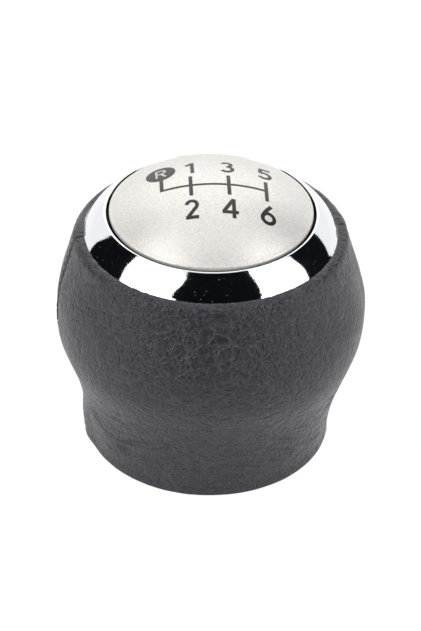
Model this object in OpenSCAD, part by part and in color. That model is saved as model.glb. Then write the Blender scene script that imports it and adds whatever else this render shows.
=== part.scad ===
// Gear shift knob: two-panel leather cover over a moulded core, chrome ring and domed shift cap.
// Millimetres. Z is the lever axis, the knob stands on its leather hem at z = 0,
// and the gate's crossbar on the cap runs along X with the driver's side at -Y.

/* [Outline] */
// Diameter of the cover at the belly
belly_d = 50; // [48:0.5:54]
// Height of the belly above the hem
belly_z = 24.2; // [23:0.1:25.5]
// Diameter of the cover just above the bottom fold
base_d = 39.9; // [39:0.1:42]
// Diameter of the crest where the cover turns in under the ring
crest_d = 41.4; // [41:0.1:42]
// Height of that crest
crest_z = 38.7; // [38.3:0.1:40]
// Radius of the turn at the crest
crest_r = 1.5; // [1.4:0.05:1.8]
// Lean of the side where it reaches the crest, in degrees
crest_lean = 13.6; // [8:0.2:18]
// Lean of the side where it leaves the bottom fold, in degrees
waist_lean = 5.5; // [3:0.5:8]
// Reach of the straight waist towards the belly
waist_pull = 14.7; // [10:0.1:17]
// Reach of the belly's round below its widest line
belly_pull_low = 9; // [6:0.1:11]
// Reach of the belly's round above its widest line
belly_pull_high = 4.5; // [3:0.1:6.5]
// Reach of the straight shoulder down towards the belly
shoulder_pull = 6.4; // [4:0.1:8]

/* [Cover] */
// Thickness of the leather
leather_t = 1.2; // [1:0.05:1.3]
// Thickness of the foam under it
foam_t = 1.8; // [1.4:0.1:2.2]
// Glue line between two layers
glue_gap = 0.1; // [0.05:0.05:0.2]
// Turn of the two seams off the gate's crossbar, in degrees
seam_turn = 4; // [0:0.5:6]
// Width of the seam allowance folded back behind each panel, in degrees
allowance_turn = 9.5; // [6:0.5:14]
// Diameter of the seam thread
thread_d = 0.4; // [0.3:0.05:0.45]
// Stitches in each seam
stitches = 15; // [10:1:18]
// Height to which the hem is tucked up inside the core
tuck_h = 5; // [3.5:0.1:5.4]

/* [Core] */
// Wall of the two moulded halves
core_wall = 1.8; // [1.5:0.1:2.2]
// Wall of the skirt that the hem is tucked into, at its foot
skirt_wall = 1.95; // [1.75:0.05:2.25]
// Height of the floor's underside
floor_z = 5.5; // [5.5:0.1:7]
// Thickness of the floor and the shoulder deck
deck_t = 2; // [1.6:0.1:2.4]
// Outside diameter of the hub round the insert
hub_d = 18.4; // [18:0.1:19]
// Thickness of the stiffening ribs
rib_t = 1.4; // [1:0.1:1.8]
// Number of stiffening ribs in each half
ribs = 6; // [6:6:12]
// Height of the tongue that keys the two halves
tongue_h = 1.4; // [1:0.1:2]

/* [Insert] */
// Minor diameter of the lever thread, M12 x 1.25
thread_minor_d = 10.65; // [8:0.05:11]
// Depth of the lever thread
thread_depth = 16; // [12:0.5:16.5]
// Wall of the brass insert round the thread
insert_wall = 2.175; // [1.875:0.05:2.275]
// Length of the brass insert
insert_l = 18.5; // [18:0.1:19]
// Grooves of its knurl
knurl_grooves = 24; // [12:1:36]

/* [Ring] */
// Diameter of the ring where it meets the leather
ring_d = 40.5; // [40.2:0.1:40.8]
// Diameter of the ring's inner edge, just under the lip
lip_d = 34.7; // [34.5:0.1:35.2]
// Height of the rounded lip
lip_z = 42.5; // [42.2:0.1:43.5]
// Width of the rounded lip
lip_w = 0.6; // [0.4:0.05:0.65]
// Rise of the flank's bow above a straight chord
flank_bow = 0.22; // [0.1:0.02:0.4]
// Wall of the ring
ring_wall = 1.3; // [1:0.1:1.5]
// Snap legs of the ring
ring_legs = 4; // [2:2:4]

/* [Cap] */
// Gap between cap and ring
cap_gap = 0.22; // [0.15:0.01:0.35]
// Rise of the dome above its rim
dome_rise = 5.94; // [4.5:0.1:7]
// Wall of the cap
cap_wall = 1.8; // [1.5:0.1:2]
// Thickness of the adhesive pad
tape_t = 0.8; // [0.5:0.1:1]
// Diameter of the adhesive pad
tape_d = 15; // [10:0.5:15.5]

/* [Base plate and screws] */
// Underside of the base plate above the hem
plate_z = 0.6; // [0.4:0.1:1]
// Thickness of the base plate
plate_t = 2.6; // [2.4:0.1:3]
// Clearance between parts that slip together
slip = 0.1; // [0.05:0.01:0.15]
// Thread diameter of the self-tapping screws
screw_d = 2.9; // [2.6:0.1:3]
// Length of the screws that join the two halves
core_screw_l = 19; // [16:0.5:20]
// Length of the screws that hold the base plate
base_screw_l = 9.5; // [8:0.5:11]
// Distance of the screws that join the two halves from the lever axis
core_screw_r = 10.9; // [10.9:0.05:11.1]

/* [Hidden] */
$fn = 64;
steps = 12;

leather_color = [0.26, 0.26, 0.28];
foam_color = [0.42, 0.42, 0.40];
core_color = [0.13, 0.13, 0.14];
thread_color = [0.10, 0.10, 0.11];
brass_color = [0.78, 0.62, 0.30];
steel_color = [0.70, 0.71, 0.73];
chrome_color = [0.85, 0.86, 0.88];
cap_color = [0.88, 0.87, 0.85];
tape_color = [0.93, 0.93, 0.90];

// Depths of the layers, measured square to the cover's outer face
foam_depth = leather_t + glue_gap;
core_depth = foam_depth + foam_t + glue_gap;
core_inner_depth = core_depth + core_wall;

// Side line of the cover, from the bottom fold over the belly to the crest
fold_r = leather_t + glue_gap;
base_start = [base_d / 2, fold_r];
belly = [belly_d / 2, belly_z];
crest_centre = [crest_d / 2, crest_z - crest_r];
shoulder = crest_centre + crest_r * [cos(crest_lean), sin(crest_lean)];
side_low = [
    base_start,
    base_start + waist_pull * [sin(waist_lean), cos(waist_lean)],
    belly - [0, belly_pull_low],
    belly
];
side_high = [
    belly,
    belly + [0, belly_pull_high],
    shoulder + shoulder_pull * [sin(crest_lean), -cos(crest_lean)],
    shoulder
];

// Hem under the ring and tuck inside the skirt
hem_top = crest_z - 0.3;
hem_dip = acos((crest_r - 0.3) / crest_r);
hem_bottom = hem_top - leather_t;
skirt_r = base_d / 2 - core_depth - skirt_wall;
tuck_r = skirt_r - glue_gap - leather_t;
shelf_z = hem_bottom - glue_gap;
joint_turn = 0.2;
lip_turn = 2.4;

// Insert, hub and screws
insert_d = thread_minor_d + 2 * insert_wall;
insert_z = 1.2;
hub_top = insert_z + insert_l + 1.6;
split_z = belly_z;
boss_r = 3.1;
pilot_r = screw_d / 2 - 0.3;
clear_r = screw_d / 2 + 0.25;
head_r = screw_d * 0.86;
head_h = screw_d * 0.5;
core_head_z = split_z + 10;
core_screw_az = 30;
base_screw_az = 90;
plate_top = plate_z + plate_t;
base_head_z = plate_z + head_h + 0.2;
base_boss_r = 2.5;
base_screw_r = tuck_r - slip - base_boss_r;

// Ring, cap and crown
ring_z = crest_z + 0.08;
cap_r = lip_d / 2 - lip_w - cap_gap;
cap_rim_z = lip_z - 0.1;
dome_r = (cap_r * cap_r + dome_rise * dome_rise) / (2 * dome_rise);
dome_z = cap_rim_z + dome_rise - dome_r;
ledge_z = cap_rim_z - 1.4;
ledge_t = 1;
tower_r = cap_r - 1.35;
ledge_r = tower_r + 0.2;
crown_r = dome_r - cap_wall - tape_t - 2 * glue_gap;
peg_r = 1.1;
peg_ring_r = 12.9;
peg_h = 3;
leg_in_r = ledge_r + 0.1;
leg_out_r = leg_in_r + 1.1;
leg_bottom = shelf_z - deck_t - 1.4;
leg_span = 12;
hem_end_r = tower_r + 2.4;

function bezier(p, t) =
    pow(1 - t, 3) * p[0] + 3 * pow(1 - t, 2) * t * p[1] + 3 * (1 - t) * t * t * p[2] + pow(t, 3) * p[3];
function bezier_way(p, t) =
    pow(1 - t, 2) * (p[1] - p[0]) + 2 * (1 - t) * t * (p[2] - p[1]) + t * t * (p[3] - p[2]);
function inward(v) = [-v[1], v[0]] / norm(v);
function sunk(p, t, depth) = bezier(p, t) + depth * inward(bezier_way(p, t));
function back(list) = [for (i = [len(list) - 1:-1:0]) list[i]];
function arc(centre, r, a0, a1, n = 6) =
    [for (i = [0:n]) let (a = a0 + (a1 - a0) * i / n) centre + r * [cos(a), sin(a)]];

// Side line at a depth under the cover's face, from the bottom upwards
function side(depth) = concat(
    [for (i = [0:steps]) sunk(side_low, i / steps, depth)],
    [for (i = [1:steps]) sunk(side_high, i / steps, depth)]
);
// The same line between two heights
function side_between(depth, z0, z1) = [for (p = side(depth)) if (p[1] > z0 && p[1] < z1) p];
// Radius of the side line at one height, read between its points
function side_r(depth, z) =
    let (line = concat([[side(depth)[0][0], -1]], side(depth), [[side(depth)[2 * steps][0], 60]]))
    let (i = max([for (k = [0:len(line) - 2]) if (line[k][1] <= z) k]))
    let (f = (z - line[i][1]) / (line[i + 1][1] - line[i][1]))
    line[i][0] + f * (line[i + 1][0] - line[i][0]);

// Line of the cover at a depth, from the tuck inside the skirt to the hem under the ring,
// or a little past both ends
function cover_line(depth, past) = concat(
    [[tuck_r + depth, tuck_h + past]],
    turn([tuck_r + fold_r, fold_r], fold_r - depth, 180, 270),
    turn([base_d / 2 - fold_r, fold_r], fold_r - depth, 270, 360 - waist_lean),
    side(depth),
    turn(crest_centre, crest_r - depth, crest_lean, 90 + hem_dip),
    [[hem_end_r - past, hem_top - depth]]
);
function turn(centre, r, a0, a1) = arc(centre, r, a0, a1, r > 0.5 ? 6 : 2);

module leather_section(outer, inner, past = 0) {
    polygon(concat(cover_line(outer, past), back(cover_line(inner, past))));
}

// Section of the seam allowance, folded back behind the panel
module allowance_section(outer, inner) {
    bottom = fold_r + 1;
    top = shelf_z - 0.6;
    polygon(concat(
        [[side_r(outer, bottom), bottom]],
        side_between(outer, bottom, top),
        [[side_r(outer, top), top]],
        [[side_r(inner, top), top]],
        back(side_between(inner, bottom, top)),
        [[side_r(inner, bottom), bottom]]
    ));
}

module sector(from, to) {
    rotate([0, 0, from])
        rotate_extrude(angle = to - from)
            children();
}

// Leather turned in at a seam and folded back behind its panel
module allowance() {
    difference() {
        sector(joint_turn, allowance_turn)
            allowance_section(leather_t - 0.4, 2 * leather_t);
        sector(lip_turn, allowance_turn + 1)
            allowance_section(leather_t - 0.6, leather_t + glue_gap / 2);
    }
}

// Layers taken off a panel's face so that it rolls down into the joint
module joint_roll() {
    for (layer = [[0.8, 0.45], [1.3, 0.2], [1.9, 0.06]])
        sector(-1, layer[0])
            leather_section(-0.5, layer[1], 0.5);
}

// One of the two panels, with its middle at -Y
module panel() {
    difference() {
        union() {
            sector(180 + joint_turn, 360 - joint_turn)
                leather_section(0, leather_t);
            rotate([0, 0, 180])
                allowance();
            mirror([0, 1, 0])
                allowance();
        }
        rotate([0, 0, 180])
            joint_roll();
        mirror([0, 1, 0])
            joint_roll();
    }
}

module leather_front() {
    color(leather_color)
        rotate([0, 0, seam_turn])
            panel();
}

module leather_rear() {
    color(leather_color)
        rotate([0, 0, seam_turn + 180])
            panel();
}

// Stitches laid in the valley between the two panels
module seam_thread() {
    run = [for (i = [0:stitches]) i / stitches];
    centre = thread_d / 2 + 0.02;
    line = [for (t = run) t < 0.5 ? sunk(side_low, 2 * t, centre) : sunk(side_high, 2 * t - 1, centre)];
    for (i = [0:stitches - 1]) {
        way = line[i + 1] - line[i];
        translate([line[i][0], 0, line[i][1]])
            rotate([0, atan2(way[0], way[1]), 0])
                cylinder(d = thread_d, h = norm(way) * 0.86);
    }
}

module seam_thread_left() {
    color(thread_color)
        rotate([0, 0, seam_turn + 180])
            seam_thread();
}

module seam_thread_right() {
    color(thread_color)
        rotate([0, 0, seam_turn])
            seam_thread();
}

// Foam sleeve with a channel for the seam allowances on each side
module foam_sleeve() {
    channel_turn = allowance_turn + 1.5;
    color(foam_color)
        difference() {
            rotate_extrude()
                layer_section(foam_depth, foam_depth + foam_t, shelf_z);
            for (side_turn = [0, 180])
                rotate([0, 0, seam_turn + side_turn])
                    sector(-channel_turn, channel_turn)
                        layer_section(foam_depth - 1, 2 * leather_t + glue_gap, shelf_z + 1);
        }
}

// Section of a layer that ends flat at the top and stands on the hem
module layer_section(outer, inner, top) {
    polygon(concat(
        [[side_r(outer, fold_r), fold_r]],
        side_between(outer, fold_r, top),
        [[side_r(outer, top), top]],
        [[side_r(inner, top), top]],
        back(side_between(inner, fold_r, top)),
        [[side_r(inner, fold_r), fold_r]]
    ));
}

// Space inside the core between two heights, reaching a little into the wall
module core_bay(z0, z1) {
    depth = core_inner_depth - 0.4;
    rotate_extrude()
        polygon(concat(
            [[0, z0], [side_r(depth, z0), z0]],
            side_between(depth, z0, z1),
            [[side_r(depth, z1), z1], [0, z1]]
        ));
}

// Radial ribs from one radius outwards, between two heights
module rib_star(r, z0, z1) {
    for (i = [0:ribs - 1])
        rotate([0, 0, core_screw_az + i * 360 / ribs])
            translate([r, -rib_t / 2, z0])
                cube([belly_d / 2 - core_inner_depth - r + 1, rib_t, z1 - z0]);
}

module at_screws(az, ring_r) {
    for (i = [0:2])
        rotate([0, 0, az + i * 120])
            translate([ring_r, 0, 0])
                children();
}

// Lower half: cup with skirt, floor, hub, ribs and screw bosses
module core_lower() {
    tongue_out = core_depth + core_wall / 2 + slip;
    floor_top = floor_z + deck_t;
    color(core_color)
        difference() {
            union() {
                rotate_extrude()
                    polygon(concat(
                        [[skirt_r, fold_r], [side_r(core_depth, fold_r), fold_r]],
                        side_between(core_depth, fold_r, split_z),
                        [[side_r(core_depth, split_z), split_z]],
                        [[belly_d / 2 - tongue_out, split_z]],
                        [[belly_d / 2 - tongue_out, split_z + tongue_h]],
                        [[belly_d / 2 - core_inner_depth, split_z + tongue_h]],
                        [[belly_d / 2 - core_inner_depth, split_z]],
                        back(side_between(core_inner_depth, floor_top, split_z)),
                        [[side_r(core_inner_depth, floor_top), floor_top], [0, floor_top]],
                        [[0, floor_z], [skirt_r, floor_z]]
                    ));
                translate([0, 0, plate_top + slip])
                    cylinder(d = hub_d, h = hub_top - plate_top - slip);
                intersection() {
                    rib_star(hub_d / 2 - 0.5, floor_top - 0.5, split_z - 4);
                    core_bay(floor_top - 0.5, split_z);
                }
                at_screws(core_screw_az, core_screw_r)
                    translate([0, 0, floor_top - 0.5])
                        cylinder(r = boss_r, h = split_z - floor_top + 0.5);
                at_screws(base_screw_az, base_screw_r)
                    translate([0, 0, plate_top + slip])
                        cylinder(r = base_boss_r, h = base_screw_l + 2);
            }
            translate([0, 0, -1])
                cylinder(d = insert_d + 2 * slip, h = insert_z + insert_l + slip + 1);
            at_screws(core_screw_az, core_screw_r)
                translate([0, 0, core_head_z - core_screw_l - 1])
                    cylinder(r = pilot_r, h = split_z);
            at_screws(base_screw_az, base_screw_r)
                translate([0, 0, -1])
                    cylinder(r = pilot_r, h = base_head_z + base_screw_l + 2);
        }
}

// Upper half: shoulder deck, crown under the cap, post on the hub and screw tubes
module core_upper() {
    deck_z = shelf_z - deck_t;
    seam_z = split_z + slip;
    rebate_r = belly_d / 2 - core_depth - core_wall / 2;
    deck_turn = acos((tower_r - core_wall) / (crown_r - deck_t));
    post_r = 5.2;
    color(core_color)
        difference() {
            union() {
                rotate_extrude()
                    polygon(concat(
                        [[rebate_r, seam_z], [belly_d / 2 - core_depth, seam_z]],
                        side_between(core_depth, seam_z + 0.01, shelf_z),
                        [[side_r(core_depth, shelf_z), shelf_z], [tower_r, shelf_z]],
                        arc([0, dome_z], crown_r, acos(tower_r / crown_r), 90, 10),
                        back(arc([0, dome_z], crown_r - deck_t, deck_turn, 90, 10)),
                        [[tower_r - core_wall, deck_z]],
                        [[side_r(core_inner_depth, deck_z), deck_z]],
                        back(side_between(core_inner_depth, split_z + tongue_h + 1, deck_z)),
                        [[belly_d / 2 - core_inner_depth, split_z + tongue_h + slip]],
                        [[rebate_r, split_z + tongue_h + slip]]
                    ));
                translate([0, 0, hub_top + slip])
                    cylinder(r = post_r, h = dome_z + crown_r - deck_t / 2 - hub_top - slip);
                intersection() {
                    union() {
                        rib_star(post_r - 0.5, split_z + 3, crown_r + dome_z);
                        at_screws(core_screw_az, core_screw_r)
                            translate([0, 0, seam_z])
                                cylinder(r = boss_r, h = crown_r);
                        at_pegs()
                            translate([0, 0, -core_wall])
                                cylinder(r = peg_r + core_wall, h = 2 * peg_h);
                    }
                    crown_bay();
                }
            }
            translate([0, 0, hub_top - 1])
                cylinder(r = post_r - core_wall, h = dome_z + crown_r - 2 * deck_t - hub_top + 1);
            at_screws(core_screw_az, core_screw_r) {
                translate([0, 0, split_z - 1])
                    cylinder(r = clear_r, h = belly_d / 2);
                translate([0, 0, core_head_z])
                    cylinder(r = head_r + slip, h = belly_d / 2);
            }
            at_pegs()
                cylinder(r = peg_r + slip, h = 2 * peg_h);
            for (i = [0:ring_legs - 1])
                rotate([0, 0, 45 + i * 360 / ring_legs])
                    sector(-leg_span / 2 - 1, leg_span / 2 + 1)
                        translate([ledge_r, deck_z - 1])
                            square([leg_out_r - ledge_r + 2 * slip, deck_t + 2]);
        }
}

// Space inside the upper half that ribs and tubes may fill
module crown_bay() {
    deck_z = shelf_z - deck_t;
    core_bay(split_z, deck_z + 0.4);
    intersection() {
        translate([0, 0, dome_z])
            sphere(r = crown_r - 0.5);
        translate([0, 0, deck_z])
            cylinder(r = tower_r - 0.5, h = crown_r);
    }
}

// Places of the cap's two locating pegs, with their feet at the bottom of the peg holes
module at_pegs() {
    for (az = [90, 210])
        rotate([0, 0, az])
            translate([peg_ring_r, 0, ledge_z - peg_h])
                children();
}

// Brass insert: blind lever thread, straight knurl and two retaining grooves
module threaded_insert() {
    r = insert_d / 2;
    groove_h = 1.2;
    color(brass_color)
        difference() {
            translate([0, 0, insert_z])
                cylinder(r = r, h = insert_l);
            translate([0, 0, insert_z - 1])
                cylinder(d = thread_minor_d, h = thread_depth + 1);
            translate([0, 0, insert_z - 0.01])
                cylinder(r1 = thread_minor_d / 2 + 0.9, r2 = thread_minor_d / 2, h = 0.9);
            for (z = [insert_l / 3, 2 * insert_l / 3])
                translate([0, 0, insert_z + z])
                    rotate_extrude()
                        translate([r - 0.5, -groove_h / 2])
                            square([1, groove_h]);
            for (i = [0:knurl_grooves - 1])
                rotate([0, 0, i * 360 / knurl_grooves])
                    translate([r + 0.15, 0, insert_z + 2])
                        cylinder(r = 0.5, h = insert_l - 4);
        }
}

// Pan-head self-tapping screw with its head's seat at z = 0 and its point upwards
module screw(l) {
    cross_w = 0.7;
    difference() {
        union() {
            cylinder(d = screw_d - 0.7, h = l - screw_d);
            translate([0, 0, l - screw_d])
                cylinder(d1 = screw_d - 0.7, d2 = 0.4, h = screw_d);
            translate([0, 0, -head_h])
                rotate_extrude()
                    polygon(concat(
                        [[0, 0]],
                        arc([head_r - 0.8, 0.8], 0.8, 270, 360),
                        [[head_r, head_h], [0, head_h]]
                    ));
        }
        for (turn = [0, 90])
            rotate([0, 0, turn])
                translate([-head_r * 0.55, -cross_w / 2, -head_h - 1])
                    cube([head_r * 1.1, cross_w, 1 + head_h * 0.6]);
    }
}

module core_screws() {
    color(steel_color)
        at_screws(core_screw_az, core_screw_r)
            translate([0, 0, core_head_z])
                mirror([0, 0, 1])
                    screw(core_screw_l);
}

module base_screws() {
    color(steel_color)
        at_screws(base_screw_az, base_screw_r)
            translate([0, 0, base_head_z])
                screw(base_screw_l);
}

// Base plate: closes the skirt and presses the tucked hem outwards
module base_plate() {
    r = tuck_r - slip;
    rim_top = floor_z - 0.3;
    edge = 0.5;
    color(core_color)
        difference() {
            rotate_extrude()
                polygon([
                    [insert_d / 2 + 2 * slip, plate_z + edge],
                    [insert_d / 2 + 2 * slip + edge, plate_z],
                    [r - edge, plate_z],
                    [r, plate_z + edge],
                    [r, rim_top - edge],
                    [r - edge, rim_top],
                    [r - 1, rim_top],
                    [r - 1.2, plate_top],
                    [insert_d / 2 + 2 * slip, plate_top]
                ]);
            at_screws(base_screw_az, base_screw_r) {
                cylinder(r = clear_r, h = floor_z);
                translate([0, 0, base_head_z - floor_z])
                    cylinder(r = head_r + 2 * slip, h = floor_z);
                translate([0, 0, plate_top])
                    cylinder(r = base_boss_r + slip, h = floor_z);
            }
        }
}

// Chrome ring: bowed flank, rounded lip, inner ledge for the cap, clamping bead and snap legs
module chrome_ring() {
    r = ring_d / 2;
    edge = 0.25;
    lip_r = lip_w / 2;
    flank_foot = [r, ring_z + edge];
    flank_head = [lip_d / 2, lip_z - lip_r];
    chord = flank_head - flank_foot;
    bow = [for (i = [0:8]) flank_foot + chord * i / 8 - flank_bow * sin(180 * i / 8) * inward(chord)];
    color(chrome_color) {
        rotate_extrude()
            polygon(concat(
                bow,
                arc([lip_d / 2 - lip_r, lip_z - lip_r], lip_r, 15, 180),
                [[lip_d / 2 - lip_w, ledge_z], [ledge_r, ledge_z], [ledge_r, ledge_z - ledge_t]],
                [[lip_d / 2 - lip_w - 0.3, ledge_z - ledge_t]],
                [[r - ring_wall, hem_top + slip], [r - ring_wall / 3, hem_top + slip], [r - edge, ring_z]]
            ));
        for (i = [0:ring_legs - 1])
            rotate([0, 0, 45 + i * 360 / ring_legs])
                sector(-leg_span / 2, leg_span / 2)
                    polygon([
                        [leg_in_r, ledge_z - 0.5],
                        [leg_in_r, leg_bottom],
                        [leg_out_r - 0.5, leg_bottom],
                        [leg_out_r + 0.6, leg_bottom + 1.1],
                        [leg_out_r + 0.6, shelf_z - deck_t - slip],
                        [leg_out_r, shelf_z - deck_t - slip],
                        [leg_out_r, ledge_z - 0.5]
                    ]);
    }
}

// Domed shift cap: shell with a rounded rim and two locating pegs
module shift_cap() {
    edge = 0.3;
    inner_r = dome_r - cap_wall;
    wall_in = cap_r - 1.5;
    rim_a = acos((cap_r - edge) / dome_r);
    color(cap_color) {
        rotate_extrude()
            polygon(concat(
                [[wall_in, ledge_z + slip / 2], [cap_r, ledge_z + slip / 2], [cap_r, cap_rim_z - edge]],
                arc([0, dome_z], dome_r, rim_a, 90, 16),
                back(arc([0, dome_z], inner_r, acos(wall_in / inner_r), 90, 12))
            ));
        intersection() {
            at_pegs()
                translate([0, 0, slip])
                    cylinder(r = peg_r, h = 3 * peg_h);
            translate([0, 0, dome_z])
                sphere(r = inner_r + cap_wall / 2);
        }
    }
}

// Adhesive pad between the crown and the inside of the cap
module cap_tape() {
    color(tape_color)
        rotate_extrude()
            polygon(concat(
                arc([0, dome_z], crown_r + glue_gap + tape_t, acos(tape_d / 2 / crown_r), 90, 8),
                back(arc([0, dome_z], crown_r + glue_gap, acos(tape_d / 2 / crown_r), 90, 8))
            ));
}

core_lower();
core_upper();
threaded_insert();
core_screws();
base_plate();
base_screws();
foam_sleeve();
leather_front();
leather_rear();
seam_thread_left();
seam_thread_right();
chrome_ring();
shift_cap();
cap_tape();
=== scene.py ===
import math

import bpy
import numpy as np
from bpy.props import FloatProperty, FloatVectorProperty, IntProperty, PointerProperty
from mathutils import Matrix, Vector


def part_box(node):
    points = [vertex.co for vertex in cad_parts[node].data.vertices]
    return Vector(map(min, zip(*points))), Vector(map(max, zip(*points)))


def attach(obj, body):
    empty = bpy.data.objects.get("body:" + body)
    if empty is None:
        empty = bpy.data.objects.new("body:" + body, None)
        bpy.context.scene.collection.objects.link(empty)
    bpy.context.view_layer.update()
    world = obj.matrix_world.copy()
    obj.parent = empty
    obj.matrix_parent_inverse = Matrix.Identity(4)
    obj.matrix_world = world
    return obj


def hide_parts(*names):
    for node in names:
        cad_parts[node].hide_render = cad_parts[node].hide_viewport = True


bl_info = {
    "name": "Gear Shift Knob Dresser",
    "version": (1, 0, 0),
    "blender": (4, 5, 0),
    "location": "View3D > Sidebar > Knob",
    "description": "Gives a gear shift knob its leather, chrome, silver cap, pattern and studio",
    "category": "Object",
}

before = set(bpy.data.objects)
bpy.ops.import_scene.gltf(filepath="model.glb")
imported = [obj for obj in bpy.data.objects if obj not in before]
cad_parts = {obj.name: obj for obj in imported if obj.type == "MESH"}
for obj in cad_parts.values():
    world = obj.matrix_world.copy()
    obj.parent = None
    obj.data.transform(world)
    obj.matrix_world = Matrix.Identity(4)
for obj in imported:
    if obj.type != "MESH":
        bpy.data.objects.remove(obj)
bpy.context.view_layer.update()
MM = 0.001
SENSOR_MM = 36.0
HEM_DROP = 0.3  # from the crest down to the end of the top hem, in millimetres
WELD_MM = 0.0005
FILM_FOOT = -0.03  # the print starts this far below the lacquer, in millimetres


def linear(code):
    """Linear RGB of an sRGB hex colour such as 3B3B40."""
    shares = [int(code[i:i + 2], 16) / 255 for i in (0, 2, 4)]
    return tuple(s / 12.92 if s <= 0.04045 else ((s + 0.055) / 1.055) ** 2.4 for s in shares)


def box_mm(node):
    """Lowest and highest corner of a node of the frame, in millimetres."""
    low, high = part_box(node)
    return low / MM, high / MM


COVER_LOW, COVER_HIGH = box_mm("leather_front")
RING_HIGH = box_mm("chrome_ring")[1]
CAP_HIGH = box_mm("shift_cap")[1]
INSERT_LOW, INSERT_HIGH = box_mm("threaded_insert")


def number(name, note, default, **limits):
    """A number that the panel shows, in millimetres unless its note names another unit."""
    return FloatProperty(name=name, description=note, default=default, **limits)


def tone(name, code):
    """A colour that the panel shows, from its sRGB hex value."""
    note = f"Colour of the {name.lower()}"
    return FloatVectorProperty(
        name=name, description=note, subtype="COLOR", size=3, min=0, max=1, default=linear(code))


class KnobCover(bpy.types.PropertyGroup):
    """Form and grain of the leather cover."""
    belly_r: number("Belly radius", "Radius of the cover at its widest line", -COVER_LOW.y, min=10)
    belly_z: number("Belly height", "Height of the widest line above the hem", 24.2, min=5)
    base_r: number("Base radius", "Radius of the cover just above the bottom fold", 19.95, min=5)
    crest_r: number("Crest radius", "Radius where the cover turns in under the ring", 20.7, min=5)
    crest_z: number("Crest height", "Height of that line", COVER_HIGH.z, min=5)
    turn_r: number("Crest turn", "Radius of the turn at the crest", 1.5, min=0.2)
    fold_r: number("Bottom fold", "Radius of the fold at the hem's inner side", 1.3, min=0.2)
    hem_fold: number("Hem edge", "Radius of the pressed outer edge of the hem", 0.3, min=0.2)
    tuck_r: number("Tuck radius", "Inner radius of the hem tucked up inside", 13.5, min=2)
    tuck_h: number("Tuck height", "Height to which the hem is tucked up", 5.0, min=1)
    hem_r: number("Hem radius", "Radius where the top hem ends under the ring", 17.58, min=2)
    thickness: number("Leather", "Thickness of the leather", 1.2, min=0.3)
    joint_gap: number("Joint", "Half the joint between the panels, degrees", 0.2)
    seam_turn: number("Seam turn", "Turn of the seams off the crossbar, degrees", 4.0)
    columns: IntProperty(name="Columns", description="Columns of a panel", default=396, min=24)
    side_rows: IntProperty(name="Rows", description="Rows up the side", default=186, min=12)
    crease_cell: number("Crease spacing", "Spacing of the large creases of the grain", 2.3, min=0.5)
    vein_cell: number("Vein spacing", "Spacing of the small creases of the grain", 0.85, min=0.3)
    pebble_cell: number("Pebble", "Width of the pebbles of the grain", 0.5, min=0.2)
    relief: number("Relief", "Depth of the grain", 0.165, min=0)
    gather_pitch: number("Gather pitch", "Spacing of the gathers under the ring", 0.95, min=0.5)
    gather_depth: number("Gather depth", "Depth of those gathers", 0.38, min=0)
    wrinkle_depth: number("Wrinkles", "Depth of the drag wrinkles at the waist", 0.14, min=0)
    ear: number("Seam ear", "How far the hem stands out at the left seam", 0.7, min=0)
    sag: number("Sag", "Drop of the crest at the rear, and a little at the right", 0.5, min=0)
    pull: number("Pull", "How far the belly is pulled to the right", 0.25, min=0)
    roll: number("Seam roll", "Width over which a panel rolls into the seam", 0.7, min=0.2)
    stitch_pitch: number("Stitch pitch", "Spacing of the seam's stitches", 2.6, min=1)
    leather: tone("Leather", "26252D")
    # Paler tone of the creases: a painted highlight for the light that their walls catch
    crease_highlight: tone("Leather in the creases", "3F3D47")


class KnobTrim(bpy.types.PropertyGroup):
    """Ring, cap, print and metal parts."""
    ring_r: number("Ring radius", "Radius of the ring at the leather", RING_HIGH.x, min=5)
    lip_r: number("Lip radius", "Outer radius of the rounded lip", 17.35, min=5)
    lip_z: number("Lip height", "Height of the lip's top", RING_HIGH.z - 0.25, min=5)
    lip_w: number("Lip width", "Width of the rounded lip", 0.6, min=0.1)
    flank_bow: number("Flank bow", "Rise of the ring's flank above a straight chord", 0.22, min=0)
    cap_r: number("Cap radius", "Radius of the cap's rim", CAP_HIGH.x - 0.2, min=5)
    cap_rim_z: number("Rim height", "Height of the cap's rim", 42.4, min=5)
    cap_top_z: number("Cap top", "Height of the dome's top", CAP_HIGH.z, min=5)
    cap_wall: number("Cap wall", "Wall of the cap", 1.8, min=0.5)
    stroke: number("Stroke", "Stroke of the printed digits", 0.6, min=0.1)
    ink_film: number("Ink", "Height of the printed ink above the lacquer", 0.025, min=0.001)
    thread_pitch: number("Thread pitch", "Pitch of the lever thread", 1.25, min=0.5)
    thread_minor_r: number("Thread radius", "Minor radius of the lever thread", 5.325, min=1)
    thread_depth: number("Thread depth", "Depth of the lever thread", 16.0, min=2)
    lacquer: tone("Silver lacquer", "F6F3EE")
    ink: tone("Ink", "2A2826")
    plating: tone("Chrome plating", "EDEFF2")


class KnobStudio(bpy.types.PropertyGroup):
    """Camera, lamps and surroundings."""
    lens: number("Lens", "Focal length", 167.4, min=20)
    distance: number("Distance", "Distance of the camera from its aim", 480.0, min=50)
    elevation: number("Elevation", "Camera's height above the horizon, degrees", 35.89)
    swing: number("Swing", "Turn of the camera round the lever axis, degrees", 3.25)
    roll: number("Roll", "Roll of the camera, degrees", 1.19)
    aim_z: number("Aim height", "Height of the point on the axis that is looked at", 22.0)
    aim_right: number("Aim right", "Shift of the aim to the camera's right", 0.22)
    aim_up: number("Aim up", "Shift of the aim upwards in the frame", -0.26)
    softbox: number("Softboxes", "Power of each side softbox, watts", 3.6)
    back_box: number("Back softbox", "Power of the softbox behind, watts", 0.8)
    sky: number("Sky", "Strength of the white surroundings as light, no unit", 0.45)


def settings():
    """The three groups of settings, as the panel shows them."""
    scene = bpy.context.scene
    return scene.knob_cover, scene.knob_trim, scene.knob_studio


# Noise on a plane, the same in every run


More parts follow.
